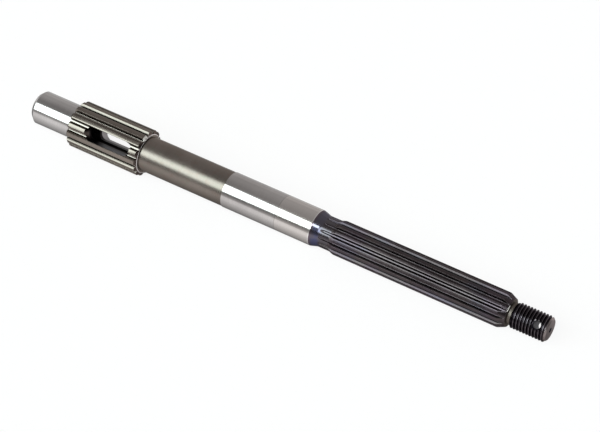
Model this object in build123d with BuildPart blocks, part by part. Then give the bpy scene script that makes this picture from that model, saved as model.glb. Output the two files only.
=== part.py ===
from build123d import *
import os
from math import sin, cos, tan, radians

# Propeller shaft, turned and splined from one bar. It lies along X with its threaded end towards +X.
# The origin is on the axis, in the middle of the bearing seat. Sizes are in millimetres.

# Front journal, at the end that runs inside the gear case
journal_diameter = 16.0
journal_length = 22.7
journal_chamfer_length = 1.8
journal_chamfer_depth = 1.6

# Clutch spline, on which the dog clutch slides
clutch_diameter = 22.3
clutch_root_diameter = 19.1
clutch_length = 38.35
clutch_teeth = 15
clutch_groove_width = 2.7
clutch_groove_floor = 0.95
clutch_groove_corner = 0.45
clutch_front_chamfer = 0.5
clutch_rear_chamfer_length = 1.0
clutch_root_edge = 0.2

# Cross slot for the clutch pin, and the bore of the plunger that moves it
slot_length = 24.55
slot_width = 6.9
slot_to_shoulder = 4.55
slot_angle = 52.6
bore_diameter = 9.0
bore_chamfer = 0.4
bore_past_slot = 1.75
drill_tip_angle = 118.0

# Plain body and bearing seat
body_diameter = 16.6
body_length = 43.85
seat_diameter = 17.0
seat_length = 46.5

# Neck between the seat and the propeller spline
neck_diameter = 14.8
neck_length = 5.9
run_down_length = 3.7
ramp_length = 2.05

# Propeller spline, with grooves that run out in the neck where the cutter was lifted
spline_diameter = 16.2
spline_root_diameter = 13.5
spline_length = 81.7
spline_teeth = 14
spline_groove_width = 2.3
spline_groove_floor = 0.8
spline_groove_corner = 0.35
spline_groove_angle = 42.4
cutter_radius = 6.0
cutter_lift_to_ramp = 2.35
cone_length = 3.45
cone_end_diameter = 13.1

# Thread for the propeller nut, drawn at its major diameter
thread_diameter = 12.0
thread_length = 17.2
thread_lead_in = 0.8
thread_end_chamfer = 1.2
relief_diameter = 10.2
relief_shoulder_length = 0.4
relief_length = 1.2

# Cross hole for the cotter pin, and the centre hole of the lathe
cotter_diameter = 3.6
cotter_sink_diameter = 5.6
cotter_to_end = 5.0
centre_mouth_diameter = 2.4
centre_pilot_diameter = 1.4
centre_depth = 2.5
centre_angle = 60.0

clearance = 1.0

# Stations along X
seat_front = -seat_length / 2
seat_rear = seat_length / 2
shoulder = seat_front - body_length
clutch_front = shoulder - clutch_length
front_end = clutch_front - journal_length
neck_front = seat_rear + run_down_length
neck_rear = neck_front + neck_length
spline_front = neck_rear + ramp_length
spline_rear = spline_front + spline_length
cone_rear = spline_rear + cone_length
relief_front = cone_rear + relief_shoulder_length
thread_front = relief_front + relief_length
rear_end = thread_front + thread_length
slot_rear = shoulder - slot_to_shoulder
slot_middle = slot_rear - slot_length / 2
cotter_station = rear_end - cotter_to_end

# Radii
journal_r = journal_diameter / 2
clutch_r = clutch_diameter / 2
clutch_root_r = clutch_root_diameter / 2
body_r = body_diameter / 2
seat_r = seat_diameter / 2
neck_r = neck_diameter / 2
spline_r = spline_diameter / 2
spline_root_r = spline_root_diameter / 2
cone_end_r = cone_end_diameter / 2
relief_r = relief_diameter / 2
thread_r = thread_diameter / 2
bore_r = bore_diameter / 2


def groove_section(root_r, tip_r, floor_width, tip_width, corner_r):
    """Section of one spline groove along local X, with its stated width at the tooth tips and a rounded floor."""
    top_r = tip_r + clearance
    flare = (tip_width - floor_width) / (tip_r - root_r)
    top_width = floor_width + flare * (top_r - root_r)
    with BuildSketch() as section:
        Polygon(
            (root_r, -floor_width / 2),
            (top_r, -top_width / 2),
            (top_r, top_width / 2),
            (root_r, floor_width / 2),
            align=None,
        )
        fillet(section.vertices().group_by(Axis.X)[0], corner_r)
    return section.sketch


# One groove of the propeller spline: a straight cut, and the round end that the cutter leaves
groove_start = neck_rear - cutter_lift_to_ramp
with BuildPart() as spline_groove:
    with BuildSketch(Plane.YZ.offset(groove_start)) as groove_face:
        add(groove_section(spline_root_r, spline_r, spline_groove_floor, spline_groove_width, spline_groove_corner))
    extrude(amount=cone_rear - groove_start + clearance / 2)
    cutter_axis = Axis((groove_start, spline_root_r + cutter_radius, 0), (0, 0, -1))
    revolve(groove_face.sketch, axis=cutter_axis, revolution_arc=45)

with BuildPart() as propeller_shaft:
    # Turned outline
    with BuildSketch(Plane.XZ):
        with BuildLine():
            Polyline(
                (front_end, 0),
                (front_end, journal_r - journal_chamfer_depth),
                (front_end + journal_chamfer_length, journal_r),
                (clutch_front, journal_r),
                (clutch_front, clutch_r - clutch_front_chamfer),
                (clutch_front + clutch_front_chamfer, clutch_r),
                (shoulder - clutch_rear_chamfer_length - clutch_root_edge, clutch_r),
                (shoulder - clutch_root_edge, clutch_root_r),
                (shoulder, clutch_root_r - clutch_root_edge),
                (shoulder, body_r),
                (seat_front, body_r),
                (seat_front, seat_r),
                (seat_rear, seat_r),
                (neck_front, neck_r),
                (neck_rear, neck_r),
                (spline_front, spline_r),
                (spline_rear, spline_r),
                (cone_rear, cone_end_r),
                (relief_front, relief_r),
                (thread_front, relief_r),
                (thread_front + thread_lead_in, thread_r),
                (rear_end - thread_end_chamfer, thread_r),
                (rear_end, thread_r - thread_end_chamfer),
                (rear_end, 0),
                (front_end, 0),
            )
        make_face()
    revolve(axis=Axis.X)

    # Clutch spline: straight grooves from end to end, with a tooth at the middle of the slot
    with BuildSketch(Plane.YZ.offset(clutch_front - clearance)):
        with PolarLocations(0, clutch_teeth, start_angle=90 + slot_angle + 180 / clutch_teeth):
            add(groove_section(clutch_root_r, clutch_r, clutch_groove_floor, clutch_groove_width, clutch_groove_corner))
    extrude(amount=clutch_length + 2 * clearance, mode=Mode.SUBTRACT)

    # Propeller spline
    for tooth in range(spline_teeth):
        groove_angle = 90 + spline_groove_angle + tooth * 360 / spline_teeth
        add(spline_groove.part.rotate(Axis.X, groove_angle), mode=Mode.SUBTRACT)

    # Cross slot, through both walls of the bore
    slot_direction = (0, -sin(radians(slot_angle)), cos(radians(slot_angle)))
    with BuildSketch(Plane(origin=(slot_middle, 0, 0), x_dir=(1, 0, 0), z_dir=slot_direction)):
        SlotOverall(slot_length, slot_width)
    extrude(amount=clutch_r + clearance, both=True, mode=Mode.SUBTRACT)

    # Plunger bore, drilled from the front end to just past the slot
    bore_end = slot_rear + bore_past_slot
    drill_tip_length = bore_r / tan(radians(drill_tip_angle / 2))
    with BuildSketch(Plane.XZ):
        with BuildLine():
            Polyline(
                (front_end, 0),
                (front_end, bore_r + bore_chamfer),
                (front_end + bore_chamfer, bore_r),
                (bore_end, bore_r),
                (bore_end + drill_tip_length, 0),
                close=True,
            )
        make_face()
    revolve(axis=Axis.X, mode=Mode.SUBTRACT)

    # Cotter pin hole, countersunk at both mouths and in line with a groove of the propeller spline
    for side in (0, 180):
        mouth_angle = radians(spline_groove_angle + side)
        outward = Vector(0, -sin(mouth_angle), cos(mouth_angle))
        mouth = Vector(cotter_station, 0, 0) + outward * thread_r
        with Locations(Plane(origin=mouth, x_dir=(1, 0, 0), z_dir=outward)):
            CounterSinkHole(cotter_diameter / 2, cotter_sink_diameter / 2, thread_r + clearance, 90)

    # Lathe centre in the threaded end
    centre_mouth_r = centre_mouth_diameter / 2
    centre_pilot_r = centre_pilot_diameter / 2
    centre_cone_length = (centre_mouth_r - centre_pilot_r) / tan(radians(centre_angle / 2))
    with BuildSketch(Plane.XZ):
        with BuildLine():
            Polyline(
                (rear_end, 0),
                (rear_end, centre_mouth_r),
                (rear_end - centre_cone_length, centre_pilot_r),
                (rear_end - centre_depth, centre_pilot_r),
                (rear_end - centre_depth, 0),
                close=True,
            )
        make_face()
    revolve(axis=Axis.X, mode=Mode.SUBTRACT)

propeller_shaft.part.label = "propeller_shaft"

os.makedirs("parts", exist_ok=True)
export_step(propeller_shaft.part, "parts/propeller_shaft.step")
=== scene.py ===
from math import acos, asin, atan2, cos, degrees, hypot, pi, radians, sin, sqrt, tan

import bmesh
import bpy
from mathutils import Matrix, Vector


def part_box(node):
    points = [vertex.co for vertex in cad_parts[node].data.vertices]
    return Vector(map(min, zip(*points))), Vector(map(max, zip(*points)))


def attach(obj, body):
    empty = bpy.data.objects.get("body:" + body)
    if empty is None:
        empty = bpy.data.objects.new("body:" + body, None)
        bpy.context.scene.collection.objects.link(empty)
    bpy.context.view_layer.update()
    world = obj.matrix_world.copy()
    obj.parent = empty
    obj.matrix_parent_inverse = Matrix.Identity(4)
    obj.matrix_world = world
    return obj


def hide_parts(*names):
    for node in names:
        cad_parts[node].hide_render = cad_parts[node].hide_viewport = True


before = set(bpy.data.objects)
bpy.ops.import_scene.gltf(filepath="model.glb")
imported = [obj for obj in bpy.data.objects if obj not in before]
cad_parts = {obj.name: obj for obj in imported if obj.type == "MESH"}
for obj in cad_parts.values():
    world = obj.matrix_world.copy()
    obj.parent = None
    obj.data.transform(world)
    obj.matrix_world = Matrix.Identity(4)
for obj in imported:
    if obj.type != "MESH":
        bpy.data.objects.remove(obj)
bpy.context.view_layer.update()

# Sizes of the shaft in millimetres, along X from the middle of the bearing seat
MM = 0.001
MICRON = 0.000001
NODE = "propeller_shaft"
lowest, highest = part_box(NODE)
FRONT_END = lowest.x / MM
REAR_END = highest.x / MM
JOURNAL_R = 8.0
JOURNAL_CHAMFER = (1.8, 1.6)
CLUTCH_FRONT = -105.45
SHOULDER = -67.1
CLUTCH_R = 11.15
CLUTCH_ROOT_R = 9.55
CLUTCH_FRONT_CHAMFER = 0.5
ROOT_EDGE = 0.2
BODY_R = 8.3
SEAT_R = 8.5
SEAT_REAR = 23.25
NECK_R = 7.4
NECK_FRONT = 26.95
NECK_REAR = 32.85
SPLINE_FRONT = 34.9
SPLINE_REAR = 116.6
SPLINE_R = 8.1
SPLINE_ROOT_R = 6.75
GROOVE_START = 30.5
CUTTER_R = 6.0
CONE_REAR = 120.05
CONE_END_R = 6.55
RELIEF_FRONT = 120.45
RELIEF_R = 5.1
THREAD_FRONT = 121.65
THREAD_LEAD_IN = 0.8
THREAD_R = 6.0
THREAD_ROOT_R = 5.08
THREAD_PITCH = 1.5
THREAD_END_CHAMFER = 1.2

# The thread's start in turns, which puts its crests where the photograph shows them
THREAD_PHASE = 0.08

# The photograph shows a shorter chamfer here than the solid's, and the seat's edge 0.7 mm further back
CLUTCH_REAR_CHAMFER = 0.65
SEAT_FRONT = -22.55

# Turned about X, from +Z towards -Y, in degrees
SLOT_ANGLE = 52.6
GROOVE_ANGLE = 42.4

SLOT_LENGTH = 24.55
SLOT_WIDTH = 6.9
SLOT_MIDDLE = -83.925
BORE_R = 4.5
BORE_CHAMFER = 0.4
BORE_END = -69.9
DRILL_TIP = radians(59)
COTTER_STATION = 133.85
COTTER_R = 1.8
COTTER_SINK_R = 2.8
CENTRE_MOUTH_R = 1.2
CENTRE_PILOT_R = 0.7
CENTRE_DEPTH = 2.5
CENTRE_HALF_ANGLE = radians(30)

# Grooves: width between the tooth tips, radii at tip, root and base circle, round in the corners, and place
CLUTCH = {"teeth": 15, "tip": 2.7, "tip_r": CLUTCH_R, "root_r": CLUTCH_ROOT_R, "base": 9.31, "corner": 0.3}
CLUTCH["angle"] = 90 + SLOT_ANGLE + 180 / CLUTCH["teeth"]
SPLINE = {"teeth": 14, "tip": 2.3, "tip_r": SPLINE_R, "root_r": SPLINE_ROOT_R, "base": 6.685, "corner": 0.3}
SPLINE["angle"] = 90 + GROOVE_ANGLE

# Breaks at the edges of the teeth, and at the turned edges up to the seat and from the seat on
EDGE = 0.12
FRONT_BREAK = 0.12
REAR_BREAK = 0.3

# Columns of faces: on half a groove, of which the first are its floor and its root, and on a land. The
# floor columns get a lighter colour, a painted light, and the root columns a near-black one, a painted
# shade.
CURVE_STEPS = 9
FLOOR_COLUMNS = 2
ROOT_COLUMNS = 3
LAND_STEPS = 5

# Points of a groove's section: round its corner, and up its flank to past the tip
CORNER_STEPS = 6
FLANK_STEPS = 16
PAST_TIP = 1.0

# Points round the thread, rings for each pitch, and the rings' distance at the run-outs and on the cone
THREAD_POINTS = 144
STEPS_PER_PITCH = 20
RUN_OUT_STEP = 0.22
CONE_STEP = 0.3

# Edges that turn by more than this stay sharp
SHARP_ANGLE = radians(24)

# A floor radius above every surface stands for no groove, and stations nearer than this are the same
NO_GROOVE = 99.0
NEAR = 0.001

# The seat's two lands meet at a faint line, and the heat tint starts just before the neck
LAND_LINE = 5.55
TINT_START = 23.27

# The slot's walls carry a painted shade, near black, as far out as this, to where the bore seems to open in
# the photograph
PAINTED_SHADE_DEPTH = 5.8

# The cotter hole is dark for this far below its countersinks
DARK_MOUTH = 1.3

# A painted glint, a near-white patch, runs over a tooth at the end of the cone, counted from the groove of
# the cotter hole.
# It starts this far before the cone's end, and ends in a ring that lies further back and further in.
CONE_GLINT_TEETH = (12.77, 13.83)
CONE_GLINT_REACH = 0.2
CONE_GLINT_DROP = (0.12, 0.435)

# A glint shows on the rear chamfer of one clutch tooth, counted from the groove past the slot
GLINT_TEETH = (12.36, 12.78)

# A line of light crosses the lands where the ramp of the propeller spline starts
RAMP_LIGHT = (NECK_REAR + 0.1, NECK_REAR + 0.32)

# Share of the end chamfer that is bare of thread and oxide
BARE_CHAMFER = 0.8

# Share of the light that the steel gives back near grazing
LIMB_TINT = 0.5

# Tool marks run round the shaft and grain lies all over it: their noise's scales for each metre
MARKS_SCALE = 1000.0
MARKS_STRETCH = (6.0, 0.12, 0.12)
GRAIN_SCALE = 5200.0
NOISE_ROUGHNESS = 0.55

# The marks' share of a metal's tone, the span of noise between its tones, and its roughness's spread
MARKS_SHARE = 0.4
TONE_SPAN = (0.32, 0.68)
ROUGHNESS_SPREAD = 0.5


def math_node(tree, operation, *values, clamp=False):
    """A Math node whose inputs are numbers or other nodes' outputs. Gives its output."""
    made = tree.nodes.new("ShaderNodeMath")
    made.operation = operation
    made.use_clamp = clamp
    for i, value in enumerate(values):
        if isinstance(value, (int, float)):
            made.inputs[i].default_value = value
        else:
            tree.links.new(value, made.inputs[i])
    return made.outputs[0]


def product(tree, first, *others):
    """The product of a node's output and more outputs or numbers."""
    for other in others:
        first = math_node(tree, "MULTIPLY", first, other)
    return first


def smooth_step(tree, value, low, high, start=0.0, end=1.0):
    """Goes smoothly from start to end as value goes from low to high."""
    made = tree.nodes.new("ShaderNodeMapRange")
    made.interpolation_type = "SMOOTHSTEP"
    made.inputs["From Min"].default_value = low
    made.inputs["From Max"].default_value = high
    made.inputs["To Min"].default_value = start
    made.inputs["To Max"].default_value = end
    tree.links.new(value, made.inputs["Value"])
    return made.outputs["Result"]


def band(tree, value, low, high, soft):
    """1 between low and high and 0 outside, with soft edges."""
    rise = smooth_step(tree, value, low - soft, low + soft)
    fall = smooth_step(tree, value, high - soft, high + soft, 1.0, 0.0)
    return product(tree, rise, fall)


def mix_colours(tree, factor, first, second):
    """First colour where factor is 0, second where it is 1. Each is a colour or another node's output."""
    made = tree.nodes.new("ShaderNodeMix")
    made.data_type = "RGBA"
    tree.links.new(factor, made.inputs["Factor"])
    for name, value in (("A", first), ("B", second)):
        socket = next(s for s in made.inputs if s.name == name and s.type == "RGBA")
        if isinstance(value, tuple):
            socket.default_value = (*value, 1.0)
        else:
            tree.links.new(value, socket)
    return next(s for s in made.outputs if s.type == "RGBA")


def noise(tree, scale, stretch=(1, 1, 1), detail=3.0):
    """Noise in the shaft's frame, finer along an axis with a larger stretch. Gives a value about 0.5."""
    mapping = tree.nodes.new("ShaderNodeMapping")
    mapping.inputs["Scale"].default_value = stretch
    tree.links.new(tree.nodes.new("ShaderNodeTexCoord").outputs["Object"], mapping.inputs["Vector"])
    made = tree.nodes.new("ShaderNodeTexNoise")
    made.inputs["Scale"].default_value = scale
    made.inputs["Detail"].default_value = detail
    made.inputs["Roughness"].default_value = NOISE_ROUGHNESS
    tree.links.new(mapping.outputs[0], made.inputs["Vector"])
    return made.outputs["Fac"]


def place(tree, axis):
    """The point's place along the piece's X, Y or Z, in millimetres."""
    split = tree.nodes.new("ShaderNodeSeparateXYZ")
    tree.links.new(tree.nodes.new("ShaderNodeTexCoord").outputs["Object"], split.inputs[0])
    return product(tree, split.outputs[axis], 1 / MM)


def across_shaft(tree, angle):
    """Places in millimetres along a direction that leans from +Z towards -Y, and square to it."""
    y, z = place(tree, "Y"), place(tree, "Z")
    across, up = sin(radians(angle)), cos(radians(angle))
    outward = math_node(tree, "ADD", product(tree, y, -across), product(tree, z, up))
    sideways = math_node(tree, "ADD", product(tree, y, up), product(tree, z, across))
    return outward, sideways


def distance(tree, first, second):
    """How far away a point is whose offsets in two directions are given."""
    squares = [math_node(tree, "POWER", offset, 2.0) for offset in (first, second)]
    return math_node(tree, "SQRT", math_node(tree, "ADD", *squares))


def tree_and_shader(material):
    """The material's node tree and its shader."""
    return material.node_tree, material.node_tree.nodes["Principled BSDF"]


def tint_colour(tree, shader, factor, colour):
    """Takes the shader's base colour to another one where factor is 1."""
    linked = shader.inputs["Base Color"].links[0].from_socket
    tree.links.new(mix_colours(tree, factor, linked, colour), shader.inputs["Base Color"])


def metal(name, dark, light, roughness, lines=0.0, grain=0.0, blotch_scale=60.0):
    """Steel that wanders between two tones, with tool marks round the shaft and grain, high in microns."""
    material = bpy.data.materials.new(name)
    material.use_nodes = True
    tree, shader = tree_and_shader(material)
    shader.inputs["Metallic"].default_value = 1.0
    shader.inputs["Specular Tint"].default_value = (LIMB_TINT, LIMB_TINT, LIMB_TINT, 1.0)
    blotch = noise(tree, blotch_scale, detail=4.0)
    marks = noise(tree, MARKS_SCALE, MARKS_STRETCH, detail=2.0)
    blotch_tone, marks_tone = product(tree, blotch, 1 - MARKS_SHARE), product(tree, marks, MARKS_SHARE)
    tone = smooth_step(tree, math_node(tree, "ADD", blotch_tone, marks_tone), *TONE_SPAN)
    tree.links.new(mix_colours(tree, tone, dark, light), shader.inputs["Base Color"])
    spread = (roughness * ROUGHNESS_SPREAD, roughness * (1 - ROUGHNESS_SPREAD / 2))
    tree.links.new(math_node(tree, "MULTIPLY_ADD", blotch, *spread), shader.inputs["Roughness"])
    fine = noise(tree, GRAIN_SCALE, detail=2.0)
    bump = tree.nodes.new("ShaderNodeBump")
    bump.inputs["Strength"].default_value = 1.0
    bump.inputs["Distance"].default_value = 1.0
    marks_height, grain_height = product(tree, marks, lines * MICRON), product(tree, fine, grain * MICRON)
    tree.links.new(math_node(tree, "ADD", marks_height, grain_height), bump.inputs["Height"])
    tree.links.new(bump.outputs[0], shader.inputs["Normal"])
    return material


def ground_seat():
    """Bright ground steel, a shade warmer behind the faint line where its two lands meet."""
    material = metal("ground_seat", (0.455, 0.43, 0.422), (0.55, 0.523, 0.514), 0.13, lines=0.2, grain=0.1)
    tree, shader = tree_and_shader(material)
    x = place(tree, "X")
    rear_land = smooth_step(tree, x, LAND_LINE - 0.2, LAND_LINE + 0.2, 0.0, 0.55)
    tint_colour(tree, shader, rear_land, (0.66, 0.61, 0.58))
    off_line = math_node(tree, "ABSOLUTE", math_node(tree, "SUBTRACT", x, LAND_LINE))
    line = smooth_step(tree, off_line, 0.35, 0.05, 0.0, 0.35)
    tint_colour(tree, shader, line, (0.30, 0.28, 0.27))
    # Painted highlight: a light line along the seat's rear edge
    painted_highlight_edge = smooth_step(tree, x, SEAT_REAR - 0.45, SEAT_REAR - 0.2, 0.0, 0.8)
    tint_colour(tree, shader, painted_highlight_edge, (0.8, 0.78, 0.77))
    return material


def hardened_body():
    """Hardened steel whose brown-grey skin wanders a little towards brown and olive."""
    dark, light = (0.184, 0.157, 0.139), (0.233, 0.2, 0.178)
    material = metal("hardened_body", dark, light, 0.29, lines=0.5, grain=0.6)
    tree, shader = tree_and_shader(material)
    brown = smooth_step(tree, noise(tree, 420.0), 0.5, 0.68, 0.0, 0.55)
    tint_colour(tree, shader, brown, (0.205, 0.158, 0.135))
    olive = smooth_step(tree, noise(tree, 350.0, (1.0, 1.6, 1.6)), 0.52, 0.7, 0.0, 0.5)
    tint_colour(tree, shader, olive, (0.19, 0.182, 0.15))
    return material


def heat_tint():
    """Steel coloured by the hardening heat: purple and blue at the seat, and grey down the neck."""
    material = metal("heat_tint", (0.075, 0.066, 0.075), (0.13, 0.118, 0.13), 0.16, lines=0.2, grain=0.2)
    tree, shader = tree_and_shader(material)
    x = place(tree, "X")
    behind_seat = smooth_step(tree, x, TINT_START + 0.4, TINT_START + 1.6)
    before_neck = smooth_step(tree, x, NECK_FRONT + 2.2, NECK_FRONT - 0.5)
    blue = product(tree, behind_seat, before_neck)
    tint_colour(tree, shader, product(tree, blue, 0.8), (0.115, 0.108, 0.142))
    patches = smooth_step(tree, noise(tree, 150.0, (1.0, 1.6, 1.6), detail=1.5), 0.4, 0.58)
    front_side = smooth_step(tree, place(tree, "Y"), -4.8, -5.9)
    tint_colour(tree, shader, product(tree, blue, patches, front_side, 0.8), (0.085, 0.093, 0.185))
    purple = smooth_step(tree, x, TINT_START + 1.1, TINT_START, 0.0, 0.7)
    tint_colour(tree, shader, purple, (0.15, 0.10, 0.14))
    return material


def spline_oxide(name, dark, light):
    """Black oxide on the propeller spline, which wanders between purple, brown and blue."""
    material = metal(name, dark, light, 0.28, lines=0.2, grain=0.3)
    tree, shader = tree_and_shader(material)
    grey = sum(light) / 3
    purple = smooth_step(tree, noise(tree, 75.0, detail=2.0), 0.46, 0.62, 0.0, 0.7)
    tint_colour(tree, shader, purple, (grey * 0.97, grey * 0.75, grey * 0.9))
    blue = smooth_step(tree, noise(tree, 62.0, (1.0, 2.0, 2.0), detail=2.0), 0.5, 0.66, 0.0, 0.32)
    tint_colour(tree, shader, blue, (grey * 0.82, grey * 0.81, grey * 1.12))
    return material


def thread_oxide():
    """Black oxide on the thread, lighter at the crests."""
    dark, light = (0.02, 0.016, 0.02), (0.055, 0.043, 0.052)
    material = metal("thread_oxide", dark, light, 0.3, grain=0.4, blotch_scale=260.0)
    tree, shader = tree_and_shader(material)
    off_axis = distance(tree, place(tree, "Y"), place(tree, "Z"))
    crest = smooth_step(tree, off_axis, THREAD_R - 0.22, THREAD_R - 0.05, 0.0, 0.75)
    tint_colour(tree, shader, crest, (0.19, 0.165, 0.18))
    return material


def slot_walls():
    """Milled walls of the slot: a painted light in the far mouth, blue-grey in the near one, and a painted
    shade by the bore.
    """
    material = metal("slot_walls", (0.075, 0.075, 0.088), (0.12, 0.12, 0.14), 0.32, lines=0.6, grain=0.4)
    tree, shader = tree_and_shader(material)
    outward, _ = across_shaft(tree, SLOT_ANGLE)
    # Painted light: the far mouth's walls are painted lighter
    far = smooth_step(tree, outward, -PAINTED_SHADE_DEPTH, -PAINTED_SHADE_DEPTH - 0.35)
    tint_colour(tree, shader, far, (0.29, 0.272, 0.275))
    slot_front = SLOT_MIDDLE - SLOT_LENGTH / 2
    front_end = smooth_step(tree, place(tree, "X"), slot_front + 3.2, slot_front + 2.2)
    near = smooth_step(tree, outward, PAINTED_SHADE_DEPTH, PAINTED_SHADE_DEPTH + 0.5)
    tint_colour(tree, shader, product(tree, front_end, near), (0.105, 0.086, 0.077))
    # Painted shade: the walls are near black close to the bore
    painted_shade = smooth_step(tree, math_node(tree, "ABSOLUTE", outward), PAINTED_SHADE_DEPTH + 0.3, PAINTED_SHADE_DEPTH - 0.1)
    tint_colour(tree, shader, painted_shade, (0.015, 0.012, 0.012))
    return material


def countersink():
    """Black countersink of the cotter hole, with a painted highlight on its outer edge on one side, where
    it cuts the crests.
    """
    material = metal("countersink", (0.012, 0.012, 0.02), (0.03, 0.03, 0.046), 0.3, lines=0.3, grain=0.3)
    tree, shader = tree_and_shader(material)
    _, sideways = across_shaft(tree, GROOVE_ANGLE)
    off_hole = distance(tree, math_node(tree, "SUBTRACT", place(tree, "X"), COTTER_STATION), sideways)
    outer = smooth_step(tree, off_hole, COTTER_SINK_R - 0.9, COTTER_SINK_R - 0.75)
    painted_highlight_side = smooth_step(tree, sideways, 0.8, 1.6)
    # Painted highlight: the outer edge is light on one side
    tint_colour(tree, shader, product(tree, outer, painted_highlight_side), (0.62, 0.6, 0.63))
    return material


materials = {
    "journal": metal("ground_journal", (0.48, 0.46, 0.455), (0.57, 0.55, 0.54), 0.12, lines=0.2, grain=0.1),
    # Lit and shaded copies of one steel on the clutch teeth: floors painted lighter, a painted light, roots
    # near black, a painted shade in the groove corners, walls and edges a little darker
    "clutch_land": metal(
        "clutch_land", (0.19, 0.162, 0.142), (0.245, 0.21, 0.185), 0.21, lines=0.2, grain=0.1
    ),
    "clutch_floor": metal("clutch_floor", (0.28, 0.246, 0.22), (0.352, 0.313, 0.282), 0.2, grain=0.1),
    "clutch_root": metal("clutch_root", (0.065, 0.059, 0.051), (0.10, 0.092, 0.08), 0.25, grain=0.1),
    "clutch_groove": metal("clutch_groove", (0.17, 0.145, 0.127), (0.222, 0.192, 0.17), 0.2, grain=0.1),
    "clutch_edge": metal("clutch_edge", (0.174, 0.148, 0.13), (0.226, 0.195, 0.173), 0.3, grain=0.1),
    "clutch_end": metal("clutch_end", (0.075, 0.056, 0.05), (0.125, 0.097, 0.088), 0.3, grain=0.3),
    # Painted glint: near-white steel for the glints at the cone's end and on one clutch chamfer
    "painted_glint": metal("painted_glint_steel", (0.93, 0.88, 0.85), (0.98, 0.94, 0.91), 0.85, grain=0.2),
    # Painted highlight: a near-white rim where the clutch's root meets the shoulder
    "rim": metal("painted_highlight_rim", (0.70, 0.65, 0.64), (0.84, 0.79, 0.78), 0.45, grain=0.1),
    "body": hardened_body(),
    "seat": ground_seat(),
    "tint": heat_tint(),
    # Lit and shaded copies of one oxide on the propeller spline: floors painted lighter, a painted light,
    # roots near black, a painted shade in the groove corners, walls a little darker and edges a little
    # lighter
    "spline_land": spline_oxide("spline_land", (0.055, 0.0435, 0.046), (0.098, 0.08, 0.083)),
    "spline_floor": spline_oxide("spline_floor", (0.081, 0.068, 0.072), (0.13, 0.109, 0.114)),
    "spline_root": spline_oxide("spline_root", (0.022, 0.019, 0.02), (0.04, 0.036, 0.037)),
    "spline_groove": spline_oxide("spline_groove", (0.049, 0.0388, 0.041), (0.081, 0.067, 0.0685)),
    "spline_edge": spline_oxide("spline_edge", (0.076, 0.064, 0.0655), (0.119, 0.101, 0.102)),
    "relief": metal("relief", (0.135, 0.114, 0.10), (0.195, 0.166, 0.148), 0.46, lines=0.4, grain=0.4),
    "thread": thread_oxide(),
    "end_face": metal("end_face", (0.30, 0.25, 0.245), (0.42, 0.355, 0.35), 0.4, lines=0.3, grain=0.4),
    "sink": countersink(),
    "ramp_edge": metal("ramp_edge", (0.105, 0.092, 0.078), (0.16, 0.143, 0.122), 0.5, grain=0.2),
    "pin_hole": metal("pin_hole", (0.20, 0.20, 0.21), (0.30, 0.30, 0.32), 0.35, lines=0.6, grain=0.4),
    "bore": metal("bore", (0.03, 0.026, 0.024), (0.06, 0.054, 0.052), 0.32, lines=0.6, grain=0.4),
    "cut": slot_walls(),
}
material_order = list(materials)


def rounded_corners(points, size, steps=3):
    """The turned outline with each corner of its polyline broken by a small curve."""
    made = [points[0]]
    for before, corner, after in zip(points, points[1:], points[2:]):
        a, b, c = Vector(before), Vector(corner), Vector(after)
        reach = min(size, (b - a).length * 0.4, (c - b).length * 0.4)
        if (b - a).angle(c - b) < radians(6) or reach < 0.005:
            made.append(corner)
            continue
        start = b + (a - b).normalized() * reach
        end = b + (c - b).normalized() * reach
        for i in range(steps + 1):
            t = i / steps
            made.append(tuple(start * (1 - t) ** 2 + b * (2 * t * (1 - t)) + end * t**2))
    made.append(points[-1])
    return made


def with_steps(points, start, end, step):
    """The outline with more stations between start and end along X."""
    made = [points[0]]
    for (x0, r0), (x1, r1) in zip(points, points[1:]):
        count = 1
        if x1 > start and x0 < end:
            count = max(1, round((x1 - x0) / step))
        for i in range(1, count + 1):
            t = i / count
            made.append((x0 + (x1 - x0) * t, r0 + (r1 - r0) * t))
    return made


def flank(spline, r):
    """A point of a tooth's involute flank at radius r, and the flank's turn from the groove's floor."""
    pressure = acos(spline["base"] / r)
    tip_pressure = acos(spline["base"] / spline["tip_r"])
    spread = (tan(tip_pressure) - tip_pressure) - (tan(pressure) - pressure)
    half_angle = asin(spline["tip"] / 2 / spline["tip_r"]) - spread
    return r * sin(half_angle), r * cos(half_angle) - spline["root_r"], pi / 2 - pressure - half_angle


def groove_curve(spline):
    """Half of a groove's section, as (offset from its middle, height over its floor)."""
    corner = spline["corner"]
    start_r = spline["root_r"]
    for _ in range(8):
        offset, height, turn = flank(spline, start_r)
        start_r += corner * (1 - cos(turn)) - height
    flat = offset - corner * sin(turn)
    points = [(0.0, 0.0), (flat, 0.0)]
    for i in range(1, CORNER_STEPS + 1):
        a = turn * i / CORNER_STEPS
        points.append((flat + corner * sin(a), corner * (1 - cos(a))))
    reach = spline["tip_r"] + PAST_TIP - start_r
    for i in range(1, FLANK_STEPS + 1):
        points.append(flank(spline, start_r + reach * i / FLANK_STEPS)[:2])
    return points


def cut_by_circle(curve, floor_r, top_r):
    """The part of a groove's half section that lies under the turned surface."""
    kept = [curve[0]]
    for (t0, h0), (t1, h1) in zip(curve, curve[1:]):
        if hypot(t1, floor_r + h1) < top_r:
            kept.append((t1, h1))
            continue
        low, high = 0.0, 1.0
        for _ in range(30):
            middle = (low + high) / 2
            inside = hypot(t0 + (t1 - t0) * middle, floor_r + h0 + (h1 - h0) * middle) < top_r
            low, high = (middle, high) if inside else (low, middle)
        kept.append((t0 + (t1 - t0) * low, h0 + (h1 - h0) * low))
        return kept
    return kept


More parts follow.
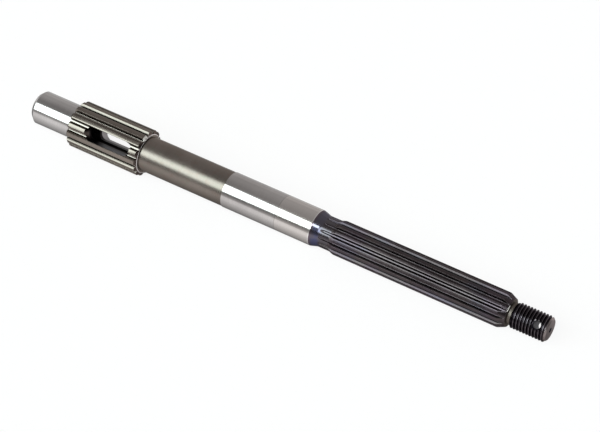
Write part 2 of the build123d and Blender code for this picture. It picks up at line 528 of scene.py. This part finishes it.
def spread_out(points, length, steps):
    """Evenly spaced points along a polyline, up to a length."""
    made = []
    lengths = [hypot(b[0] - a[0], b[1] - a[1]) for a, b in zip(points, points[1:])]
    for i in range(steps + 1):
        left = length * i / steps
        for a, b, part in zip(points, points[1:], lengths):
            if left <= part or b is points[-1]:
                share = min(1.0, left / part) if part > 0 else 0.0
                made.append((a[0] + (b[0] - a[0]) * share, a[1] + (b[1] - a[1]) * share))
                break
            left -= part
    return made


def tooth_columns():
    """What each column of faces of one tooth is, in the order of tooth_ring."""
    half = ["floor"] * FLOOR_COLUMNS + ["root"] * ROOT_COLUMNS
    half += ["groove"] * (CURVE_STEPS - len(half)) + ["edge"] * 2
    return half + ["land"] * LAND_STEPS + half[::-1]


def tooth_kinds(spline_name):
    """The materials of one tooth's faces, whose names start with the spline's."""
    return [f"{spline_name}_{column}" for column in tooth_columns()]


def tooth_ring(spline, floor_r, top_r):
    """A ring of (radius, angle in degrees) round the shaft, a circle where no groove is cut."""
    curve = groove_curve(spline)
    cut = floor_r < top_r - 1e-4
    if cut:
        section = cut_by_circle(curve, floor_r, top_r)
        length = sum(hypot(b[0] - a[0], b[1] - a[1]) for a, b in zip(section, section[1:]))
        edge = min(EDGE, length * 0.3)
        points = spread_out(section, length - edge, CURVE_STEPS)
        polar = [(hypot(t, floor_r + h), degrees(atan2(t, floor_r + h))) for t, h in points]
        corner = section[-1]
        corner_angle = degrees(atan2(corner[0], floor_r + corner[1]))
    else:
        flat = curve[1][0]
        edge = EDGE
        polar = [(top_r, degrees(asin(flat * i / CURVE_STEPS / top_r))) for i in range(CURVE_STEPS + 1)]
        corner_angle = polar[-1][1] + degrees(edge / top_r)
    land_start = corner_angle + degrees(edge / top_r)
    middle_r = top_r if not cut else 0.25 * polar[-1][0] + 0.75 * top_r
    middle_angle = 0.25 * polar[-1][1] + 0.5 * corner_angle + 0.25 * land_start
    half = polar + [(middle_r, middle_angle)]
    pitch = 360 / spline["teeth"]
    land = [(top_r, land_start + (pitch - 2 * land_start) * i / LAND_STEPS) for i in range(LAND_STEPS + 1)]
    other = [(r, pitch - a) for r, a in half[::-1]]
    tooth = half + land + other[:-1]
    return [(r, spline["angle"] + a + pitch * i) for i in range(spline["teeth"]) for r, a in tooth]


def marked(faces, spline, teeth):
    """The materials of a whole ring's faces, with a painted glint from one tooth count to another."""
    start, end = (round(share * len(faces)) for share in teeth)
    ring = faces * spline["teeth"]
    ring[start:end] = ["painted_glint"] * (end - start)
    return ring


class Skin:
    """A closed skin made ring by ring along X, with a material for each face."""

    def __init__(self):
        self.points, self.faces, self.kinds = [], [], []
        self.last = None

    def ring(self, x, polar, kinds):
        """Adds a ring at station x and joins it to the ring before."""
        first = len(self.points)
        for r, a in polar:
            self.points.append((x, r * cos(radians(a)), r * sin(radians(a))))
        new = (first, [a for _, a in polar])
        if self.last:
            if len(self.last[1]) == len(polar):
                count = len(polar)
                for i in range(count):
                    j = (i + 1) % count
                    a, b = self.last[0] + i, self.last[0] + j
                    self.faces.append((a, b, first + j, first + i))
                    self.kinds.append(kinds[i % len(kinds)])
            else:
                self.zip_to(new, kinds[0])
        self.last = new

    def zip_to(self, new, kind):
        """Joins two rings that have different counts of points with triangles."""
        def turned(ring):
            """The ring's (angle, point) pairs in order, with the first one again a turn later."""
            start, angles = ring
            pairs = sorted((a % 360, start + i) for i, a in enumerate(angles))
            return pairs + [(pairs[0][0] + 360, pairs[0][1])]
        old_ring, new_ring = turned(self.last), turned(new)
        i = j = 0
        while i < len(old_ring) - 1 or j < len(new_ring) - 1:
            step_old = j == len(new_ring) - 1
            if i < len(old_ring) - 1 and not step_old:
                step_old = old_ring[i + 1][0] <= new_ring[j + 1][0]
            if step_old:
                face = (old_ring[i][1], old_ring[i + 1][1], new_ring[j][1])
                i += 1
            else:
                face = (old_ring[i][1], new_ring[j + 1][1], new_ring[j][1])
                j += 1
            self.faces.append(face)
            self.kinds.append(kind)

    def cap(self, kind, reverse=False):
        """Closes the skin at the last ring."""
        first, angles = self.last
        loop = list(range(first, first + len(angles)))
        self.faces.append(tuple(loop[::-1] if reverse else loop))
        self.kinds.append(kind)


def front_outline():
    """Turned outline from the front end to the bearing seat, as (station, radius)."""
    chamfer_length, chamfer_depth = JOURNAL_CHAMFER
    corners = [
        (FRONT_END, JOURNAL_R - chamfer_depth),
        (FRONT_END + chamfer_length, JOURNAL_R),
        (CLUTCH_FRONT, JOURNAL_R),
        (CLUTCH_FRONT, CLUTCH_R - CLUTCH_FRONT_CHAMFER),
        (CLUTCH_FRONT + CLUTCH_FRONT_CHAMFER, CLUTCH_R),
        (SHOULDER - CLUTCH_REAR_CHAMFER - ROOT_EDGE, CLUTCH_R),
        (SHOULDER - ROOT_EDGE, CLUTCH_ROOT_R),
        (SHOULDER, CLUTCH_ROOT_R - ROOT_EDGE),
        (SHOULDER, BODY_R),
        (SEAT_FRONT, BODY_R),
    ]
    return rounded_corners(corners, FRONT_BREAK)


def rear_outline():
    """Turned outline from the bearing seat to the ring just past the spline's cone."""
    corners = [
        (SEAT_FRONT, SEAT_R),
        (SEAT_REAR, SEAT_R),
        (NECK_FRONT, NECK_R),
        (NECK_REAR, NECK_R),
        (SPLINE_FRONT, SPLINE_R),
        (SPLINE_REAR, SPLINE_R),
        (CONE_REAR, CONE_END_R),
        (CONE_REAR + CONE_GLINT_DROP[0], CONE_END_R - CONE_GLINT_DROP[1]),
    ]
    points = with_steps(rounded_corners(corners, REAR_BREAK), NECK_FRONT - 0.5, SPLINE_FRONT, RUN_OUT_STEP)
    return with_steps(points, SPLINE_REAR, CONE_REAR, CONE_STEP)


def spline_floor(x):
    """Radius of the propeller spline's groove floor, which rises along the cutter's round at its front."""
    reach = max(0.0, GROOVE_START - x)
    if reach >= CUTTER_R * 0.7:
        return NO_GROOVE
    return SPLINE_ROOT_R + CUTTER_R - sqrt(CUTTER_R**2 - reach**2)


def thread_radius(x, angle):
    """Radius of the right-hand thread at a station and an angle in degrees, with flats on its crests."""
    turns = (x - THREAD_FRONT) / THREAD_PITCH - angle / 360 + THREAD_PHASE
    off_crest = abs(turns - round(turns)) * THREAD_PITCH
    drop = max(0.0, off_crest - THREAD_PITCH / 16) / tan(radians(30))
    return max(THREAD_ROOT_R, THREAD_R - drop)


def thread_outline(x):
    """Turned radius of the threaded end, before the thread is cut."""
    lead_in = RELIEF_R + (THREAD_R - RELIEF_R) * (x - THREAD_FRONT) / THREAD_LEAD_IN
    chamfer = THREAD_R - THREAD_END_CHAMFER + (REAR_END - x)
    return min(max(RELIEF_R, lead_in), THREAD_R, chamfer)


def front_kinds(before, x, r):
    """The materials of a ring of faces before the seat, which ends at station x and radius r."""
    if x <= CLUTCH_FRONT + NEAR and r <= JOURNAL_R + NEAR:
        return ["journal"]
    if before >= SHOULDER - NEAR and r <= SEAT_R:
        return ["body"]
    on_root_edge = SHOULDER - ROOT_EDGE - FRONT_BREAK / 2 < before < SHOULDER - NEAR
    if on_root_edge and x > SHOULDER - ROOT_EDGE:
        return ["rim"]
    if before > SHOULDER - CLUTCH_REAR_CHAMFER - ROOT_EDGE - NEAR:
        return marked(["clutch_end"] * len(tooth_columns()), CLUTCH, GLINT_TEETH)
    return tooth_kinds("clutch")


def rear_kinds(before, x, r):
    """The materials of a ring of faces between seat and relief, which ends at station x and radius r."""
    if before < TINT_START:
        return ["seat"]
    if x <= NECK_REAR and spline_floor(x) < r:
        return ["tint" if column in ("floor", "land") else "spline_groove" for column in tooth_columns()]
    if x <= NECK_REAR:
        return ["tint"]
    if RAMP_LIGHT[0] < before <= RAMP_LIGHT[1]:
        return ["ramp_edge" if kind == "spline_land" else kind for kind in tooth_kinds("spline")]
    if before > CONE_REAR - CONE_GLINT_REACH:
        faces = tooth_kinds("spline") if before < CONE_REAR else ["relief"] * len(tooth_columns())
        return marked(faces, SPLINE, CONE_GLINT_TEETH)
    return tooth_kinds("spline")


def thread_kinds(before, x):
    """The material of a ring of faces from the relief to the rear end, which ends at station x."""
    if before < THREAD_FRONT:
        return ["relief"]
    if x > REAR_END - THREAD_END_CHAMFER * BARE_CHAMFER:
        return ["end_face"]
    return ["thread"]


def build_skin():
    """The whole outside of the shaft, before its slot and holes."""
    skin = Skin()
    before = FRONT_END
    for x, r in front_outline():
        floor_r = CLUTCH_ROOT_R if CLUTCH_FRONT - NEAR < x < SHOULDER + NEAR else NO_GROOVE
        skin.ring(x, tooth_ring(CLUTCH, floor_r, r), front_kinds(before, x, r))
        if x == FRONT_END:
            skin.cap("journal", reverse=True)
        before = x

    for x, r in rear_outline():
        skin.ring(x, tooth_ring(SPLINE, spline_floor(x), r), rear_kinds(before, x, r))
        before = x

    angles = [360 * k / THREAD_POINTS for k in range(THREAD_POINTS)]
    count = round((REAR_END - RELIEF_FRONT) / (THREAD_PITCH / STEPS_PER_PITCH))
    for i in range(count + 1):
        x = RELIEF_FRONT + (REAR_END - RELIEF_FRONT) * i / count
        ring = [(min(thread_outline(x), thread_radius(x, a)), a) for a in angles]
        skin.ring(x, ring, thread_kinds(before, x))
        before = x
    skin.cap("end_face")
    return skin


def mesh_object(name, points, faces, kinds):
    """A mesh in metres, with each face's material and its normals outwards."""
    mesh = bpy.data.meshes.new(name)
    mesh.from_pydata([[c * MM for c in p] for p in points], [], faces)
    for kind in material_order:
        mesh.materials.append(materials[kind])
    mesh.polygons.foreach_set("material_index", [material_order.index(kind) for kind in kinds])
    made = bpy.data.objects.new(name, mesh)
    bpy.context.scene.collection.objects.link(made)
    cleaner = bmesh.new()
    cleaner.from_mesh(mesh)
    bmesh.ops.recalc_face_normals(cleaner, faces=cleaner.faces)
    cleaner.to_mesh(mesh)
    cleaner.free()
    return made


def turned_cutter(name, profile, matrix, kinds, segments=96):
    """A cutter turned about its local X from (station, radius) points, with each stretch's material."""
    points = []
    faces = []
    face_kinds = []
    for x, r in profile:
        for k in range(segments):
            a = 2 * pi * k / segments
            points.append(tuple(matrix @ Vector((x, r * cos(a), r * sin(a)))))
    for i in range(len(profile) - 1):
        for k in range(segments):
            j = (k + 1) % segments
            ring, following = i * segments, (i + 1) * segments
            faces.append((ring + k, ring + j, following + j, following + k))
            face_kinds.append(kinds[i])
    faces.append(tuple(range(segments)))
    faces.append(tuple(range((len(profile) - 1) * segments, len(profile) * segments)))
    return mesh_object(name, points, faces, face_kinds + [kinds[0], kinds[-1]])


def slot_cutter():
    """The cross slot: a long hole with round ends, through both sides."""
    half = (SLOT_LENGTH - SLOT_WIDTH) / 2
    r = SLOT_WIDTH / 2
    outline = []
    steps = 24
    for side in (1, -1):
        for i in range(steps + 1):
            a = pi * i / steps - pi / 2
            outline.append((side * (half + r * cos(a)), side * r * sin(a)))
    turn = Matrix.Rotation(radians(SLOT_ANGLE), 4, "X")
    points = []
    for height in (-CLUTCH_R - 1, CLUTCH_R + 1):
        points += [tuple(turn @ Vector((SLOT_MIDDLE + x, y, height))) for x, y in outline]
    count = len(outline)
    faces = [tuple(range(count)), tuple(range(count, 2 * count))]
    for k in range(count):
        j = (k + 1) % count
        faces.append((k, j, count + j, count + k))
    return mesh_object("slot_cutter", points, faces, ["cut"] * len(faces))


def bore_cutter():
    """The plunger bore, with its mouth chamfer and the cone that the drill leaves."""
    tip_r = 0.05
    tip = BORE_END + (BORE_R - tip_r) / tan(DRILL_TIP)
    profile = [
        (FRONT_END - 1, BORE_R + BORE_CHAMFER + 1),
        (FRONT_END + BORE_CHAMFER, BORE_R),
        (BORE_END, BORE_R),
        (tip, tip_r),
    ]
    return turned_cutter("bore_cutter", profile, Matrix.Identity(4), ["journal", "bore", "bore"])


def cotter_cutter():
    """The cotter pin hole, countersunk at both mouths."""
    sink = COTTER_SINK_R - COTTER_R
    past = 1.5
    profile = [
        (-THREAD_R - past, COTTER_SINK_R + past),
        (-THREAD_R + sink, COTTER_R),
        (-THREAD_R + sink + DARK_MOUTH, COTTER_R),
        (THREAD_R - sink - DARK_MOUTH, COTTER_R),
        (THREAD_R - sink, COTTER_R),
        (THREAD_R + past, COTTER_SINK_R + past),
    ]
    a = radians(GROOVE_ANGLE)
    outward = Vector((0, -sin(a), cos(a)))
    turn = outward.to_track_quat("X", "Z").to_matrix().to_4x4()
    matrix = Matrix.Translation((COTTER_STATION, 0, 0)) @ turn
    kinds = ["sink", "sink", "pin_hole", "sink", "sink"]
    return turned_cutter("cotter_cutter", profile, matrix, kinds, 72)


def centre_cutter():
    """The lathe centre in the threaded end."""
    cone = (CENTRE_MOUTH_R - CENTRE_PILOT_R) / tan(CENTRE_HALF_ANGLE)
    past = 0.5
    profile = [
        (REAR_END - CENTRE_DEPTH, CENTRE_PILOT_R),
        (REAR_END - cone, CENTRE_PILOT_R),
        (REAR_END + past, CENTRE_MOUTH_R + past * tan(CENTRE_HALF_ANGLE)),
    ]
    return turned_cutter("centre_cutter", profile, Matrix.Identity(4), ["bore", "sink"], 48)


def cut_out(target, cutter):
    """Takes a cutter's volume out of the target."""
    modifier = target.modifiers.new("cut", "BOOLEAN")
    modifier.operation = "DIFFERENCE"
    modifier.solver = "EXACT"
    modifier.object = cutter
    with bpy.context.temp_override(object=target, active_object=target):
        bpy.ops.object.modifier_apply(modifier=modifier.name)
    bpy.data.objects.remove(cutter)


def build_shaft():
    """The shaft: its skin, its slot and holes, and smooth shading up to its real edges."""
    skin = build_skin()
    shaft = mesh_object("shaft", skin.points, skin.faces, skin.kinds)
    for cutter in (bore_cutter(), slot_cutter(), cotter_cutter(), centre_cutter()):
        cut_out(shaft, cutter)
    shaft.data.polygons.foreach_set("use_smooth", [True] * len(shaft.data.polygons))
    shaft.data.set_sharp_from_angle(angle=SHARP_ANGLE)
    return shaft


shaft = build_shaft()
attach(shaft, "root")
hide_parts(NODE)


# The floor touches the clutch spline and the rear end of the propeller spline
support_front = (SHOULDER - CLUTCH_REAR_CHAMFER - ROOT_EDGE, -CLUTCH_R)
support_rear = (SPLINE_REAR, -SPLINE_R)
floor_slope = atan2(support_rear[1] - support_front[1], support_rear[0] - support_front[0])
FLOOR_HALF = 6.0
FLOOR_COLOUR = (0.92, 0.885, 0.885, 1.0)

# The camera sees the floor as this white, with this share over the floor's own colour and shadow
FLOOR_WHITE = 1.005
WHITE_SHARE = 0.88

# The metal mirrors the floor's painted light: a painted shadow beside the shaft, brighter further out, and
# dimmer far away: two distances from the axis in millimetres, and the strengths there
BESIDE_SHAFT = (-6.0, 38.0, 0.32, 1.06)
FAR_AWAY = (60.0, 400.0, 1.0, 0.65)

# A little more painted light lies on the floor by the clutch, as the metal mirrors it: two distances along
# X from where it touches the floor, and the strengths there, and the distances from the axis between which
# it fades
BY_CLUTCH = (20.0, 50.0, 0.14, 0.0)
BY_CLUTCH_ACROSS = (30.0, 0.0)


def floor_material():
    """Matt and pale, nearly white to the camera, and glowing with a painted light and a painted shadow
    beside the shaft where metal mirrors it.
    """
    material = bpy.data.materials.new("pale_floor")
    material.use_nodes = True
    tree, matt = tree_and_shader(material)
    matt.inputs["Base Color"].default_value = FLOOR_COLOUR
    matt.inputs["Roughness"].default_value = 0.8
    matt.inputs["Specular IOR Level"].default_value = 0.0

    away = math_node(tree, "ABSOLUTE", place(tree, "Y"))
    by_clutch = smooth_step(tree, place(tree, "X"), *BY_CLUTCH)
    by_clutch = product(tree, by_clutch, smooth_step(tree, away, *BY_CLUTCH_ACROSS))
    painted_mirror_light = math_node(tree, "ADD", smooth_step(tree, away, *BESIDE_SHAFT), by_clutch)
    painted_mirror_light = product(tree, painted_mirror_light, smooth_step(tree, away, *FAR_AWAY))

    rays = tree.nodes.new("ShaderNodeLightPath")
    seen = rays.outputs["Is Camera Ray"]
    strength = math_node(tree, "ADD", product(tree, seen, FLOOR_WHITE), painted_mirror_light)
    strength = math_node(tree, "SUBTRACT", strength, product(tree, seen, painted_mirror_light))
    white = tree.nodes.new("ShaderNodeEmission")
    tree.links.new(strength, white.inputs["Strength"])
    share = math_node(tree, "MAXIMUM", product(tree, seen, WHITE_SHARE), rays.outputs["Is Glossy Ray"])
    mix = tree.nodes.new("ShaderNodeMixShader")
    tree.links.new(share, mix.inputs[0])
    tree.links.new(matt.outputs[0], mix.inputs[1])
    tree.links.new(white.outputs[0], mix.inputs[2])
    tree.links.new(mix.outputs[0], tree.nodes["Material Output"].inputs[0])
    return material


def build_floor():
    """A plain pale floor that keeps the shaft's soft shadow."""
    mesh = bpy.data.meshes.new("floor")
    corners = [(-FLOOR_HALF, -FLOOR_HALF, 0), (FLOOR_HALF, -FLOOR_HALF, 0)]
    corners += [(FLOOR_HALF, FLOOR_HALF, 0), (-FLOOR_HALF, FLOOR_HALF, 0)]
    mesh.from_pydata(corners, [], [(0, 1, 2, 3)])
    floor = bpy.data.objects.new("floor", mesh)
    bpy.context.scene.collection.objects.link(floor)
    floor.rotation_euler = (0, -floor_slope, 0)
    floor.location = (support_front[0] * MM, 0, support_front[1] * MM)
    mesh.materials.append(floor_material())


build_floor()


# The studio is painted on the world by direction: by its turn about X, in degrees from +Z towards -Y,
# and by its X. To the camera, the shaft mirrors an X of about -0.47 at its front end and -0.25 at its rear.
STUDIO_COLOUR = (1.0, 0.98, 0.97)

# The large soft box. A sloping edge has its rise in degrees for each unit of X, and its turn at X = 0.
BOX_STRENGTH = 4.75
BOX_COLOUR = (0.85, 1.0, 0.99)
BOX_LOW_EDGE = (71.7, 49.6)
BOX_LOW_MOST = 32.0
BOX_FAR_CORNER = (-400.0, -157.6)
BOX_FAR_CORNER_MOST = 27.0
BOX_HIGH_EDGE = (-36.0, 53.0)
BOX_HIGH_LEAST = 62.0
BOX_SOFT = 3.0

# A band has its two edges and the softness of both
BOX_ENDS = (-0.9, 0.12, 0.08)
SIDE_BOX_TURN = (26.0, 38.0, 1.5)
SIDE_BOX_ENDS = (0.2, 0.45, 0.05)
SIDE_BOX_STRENGTH = 20.0
STUDIO_ENDS = (-0.82, 0.5, 0.12)
BEYOND_ENDS = 0.25

# Light before the box and shade past it, for the seat and all behind it, which mirror an X over this span
BEFORE_BOX = (-20.0, 45.0, 18.0)
BEFORE_BOX_LIGHT = 0.09
PAST_BOX = (62.0, 80.0, 4.0)
PAST_BOX_SHADE = 0.08
SEAT_SPAN = (-0.4, -0.38)

# Walls: two turns, and the strengths there
OVERHEAD = (-45.0, 5.0, 0.46, 0.27)
BACK_WALL = (-52.0, -78.0, 0.0, 0.17)
FRONT_WALL = (72.0, 98.0, 0.0, 0.36)


def large_box(tree, turned, x):
    """1 inside the soft box in front of the shaft, and 0 outside."""
    low = math_node(tree, "MINIMUM", math_node(tree, "MULTIPLY_ADD", x, *BOX_LOW_EDGE), BOX_LOW_MOST)
    corner = math_node(tree, "MULTIPLY_ADD", x, *BOX_FAR_CORNER)
    low = math_node(tree, "MAXIMUM", low, math_node(tree, "MINIMUM", corner, BOX_FAR_CORNER_MOST))
    high = math_node(tree, "MAXIMUM", math_node(tree, "MULTIPLY_ADD", x, *BOX_HIGH_EDGE), BOX_HIGH_LEAST)
    over_low = smooth_step(tree, math_node(tree, "SUBTRACT", turned, low), -BOX_SOFT, BOX_SOFT)
    under_high = smooth_step(tree, math_node(tree, "SUBTRACT", high, turned), -BOX_SOFT, BOX_SOFT)
    return product(tree, over_low, under_high, band(tree, x, *BOX_ENDS))


def studio_walls(tree, turned, x):
    """How bright the dim studio is round the boxes."""
    before_box = product(tree, band(tree, turned, *BEFORE_BOX), BEFORE_BOX_LIGHT)
    past_box = product(tree, band(tree, turned, *PAST_BOX), PAST_BOX_SHADE)
    round_box = math_node(tree, "SUBTRACT", before_box, past_box)
    on_seat = product(tree, round_box, smooth_step(tree, x, *SEAT_SPAN))
    walls = math_node(tree, "ADD", on_seat, smooth_step(tree, turned, *OVERHEAD))
    walls = math_node(tree, "ADD", walls, smooth_step(tree, turned, *BACK_WALL))
    walls = math_node(tree, "ADD", walls, smooth_step(tree, turned, *FRONT_WALL))
    ends = math_node(tree, "MULTIPLY_ADD", band(tree, x, *STUDIO_ENDS), 1 - BEYOND_ENDS, BEYOND_ENDS)
    return product(tree, walls, ends)


def build_world():
    """A dim studio with a large soft box before the shaft and a small bright one past its rear end."""
    world = bpy.data.worlds.new("studio")
    bpy.context.scene.world = world
    world.use_nodes = True
    tree = world.node_tree
    split = tree.nodes.new("ShaderNodeSeparateXYZ")
    tree.links.new(tree.nodes.new("ShaderNodeTexCoord").outputs["Generated"], split.inputs[0])
    x, y, z = split.outputs
    turned = product(tree, math_node(tree, "ARCTAN2", product(tree, y, -1.0), z), 180 / pi)

    front_box = product(tree, large_box(tree, turned, x), BOX_STRENGTH)
    side_box = product(tree, band(tree, turned, *SIDE_BOX_TURN), band(tree, x, *SIDE_BOX_ENDS))
    boxes = math_node(tree, "MAXIMUM", front_box, product(tree, side_box, SIDE_BOX_STRENGTH))
    light = math_node(tree, "MAXIMUM", studio_walls(tree, turned, x), boxes)
    seen = tree.nodes.new("ShaderNodeLightPath").outputs["Is Camera Ray"]
    in_box = math_node(tree, "MULTIPLY", boxes, 1 / BOX_STRENGTH, clamp=True)
    background = tree.nodes["Background"]
    tree.links.new(mix_colours(tree, in_box, STUDIO_COLOUR, BOX_COLOUR), background.inputs["Color"])
    tree.links.new(math_node(tree, "MAXIMUM", light, seen), background.inputs["Strength"])


build_world()


# Camera, fitted to the shaft's outline in the photograph: its turns in radians, its place in metres
CAMERA_AZIMUTH = radians(31.36)
CAMERA_ELEVATION = radians(45.97)
CAMERA_DISTANCE = 1.0235
CAMERA_TARGET = Vector((0.01336, 0.001345, 0.00111))
CAMERA_LENS = 138.0
CAMERA_SENSOR = 36.0


def build_camera():
    """The camera at the photograph's viewing angle."""
    data = bpy.data.cameras.new("camera")
    data.lens = CAMERA_LENS
    data.sensor_width = CAMERA_SENSOR
    data.dof.use_dof = False
    camera = bpy.data.objects.new("camera", data)
    bpy.context.scene.collection.objects.link(camera)
    flat = cos(CAMERA_ELEVATION)
    back = Vector((sin(CAMERA_AZIMUTH) * flat, -cos(CAMERA_AZIMUTH) * flat, sin(CAMERA_ELEVATION)))
    camera.location = CAMERA_TARGET + back * CAMERA_DISTANCE
    camera.rotation_mode = "QUATERNION"
    camera.rotation_quaternion = (-back).to_track_quat("-Z", "Y")
    bpy.context.scene.camera = camera


build_camera()
bpy.context.scene.view_settings.view_transform = "Standard"
